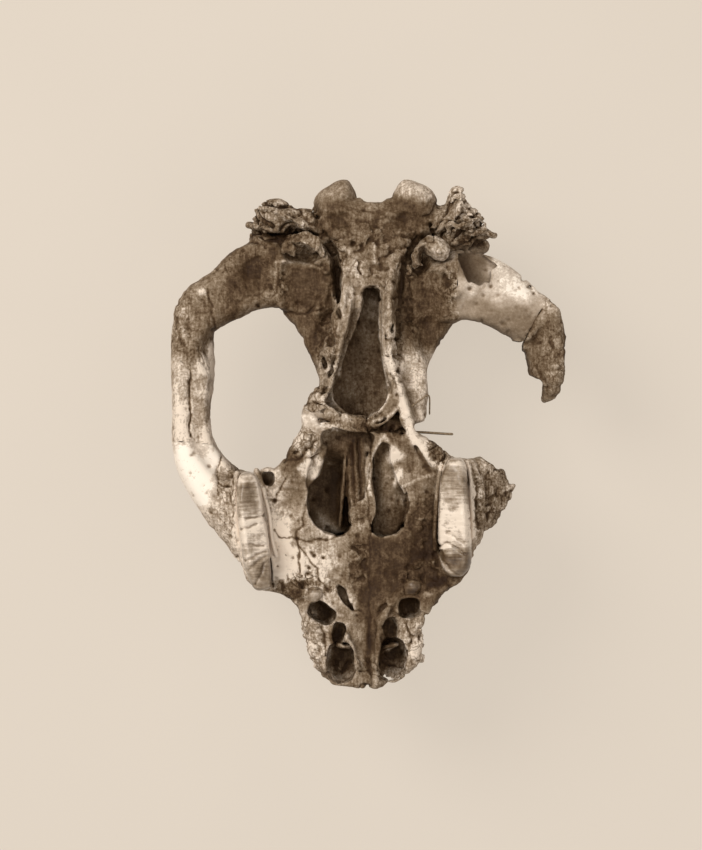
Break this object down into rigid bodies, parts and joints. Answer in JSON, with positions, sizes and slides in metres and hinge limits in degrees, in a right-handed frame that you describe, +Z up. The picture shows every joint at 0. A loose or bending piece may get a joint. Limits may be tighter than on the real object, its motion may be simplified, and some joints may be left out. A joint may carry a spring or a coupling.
{
  "type": "fossil skull",
  "caption": "Fossil marsupial lion skull without its lower jaw, palate up, with long blade premolars, one broken cheek arch, plaster fills and repair wires.",
  "frame": {"origin": "on the floor, under the middle of the skull's outline", "axes": "+Z up, towards the palate; +Y towards the back of the head; +X the animal's right side"},
  "size_m": [0.1868, 0.2404, 0.1113],
  "materials": {
    "bone": "matte",
    "stained_bone": "matte",
    "pale_bone": "matte",
    "enamel": "satin",
    "plaster": "matte",
    "wire": "satin"
  },
  "bodies": {
    "root": {"occipital": "bone", "braincase": "bone", "sphenoid_left": "bone", "sphenoid_right": "bone", "mastoid_left": "stained_bone", "mastoid_right": "stained_bone", "tympanic_left": "bone", "tympanic_right": "bone", "squamosal_left": "bone", "squamosal_right": "stained_bone", "jugal_left_rear": "stained_bone", "jugal_left": "pale_bone", "plaster_cheek_left": "plaster", "plaster_cheek_right": "plaster", "jugal_right": "stained_bone", "pterygoid_left": "bone", "pterygoid_right": "pale_bone", "plaster_pterygoid_left": "plaster", "palatine_bridge": "bone", "frontals": "bone", "nasals": "bone", "vomer": "bone", "maxilla_left": "pale_bone", "maxilla_right": "bone", "maxilla_right_rear": "stained_bone", "premaxilla_left": "bone", "premaxilla_right": "bone", "premolar_left": "enamel", "premolar_right": "enamel", "peg_left": "enamel", "peg_right": "enamel", "wire_long": "wire", "wire_short": "wire"}
  },
  "joints": []
}
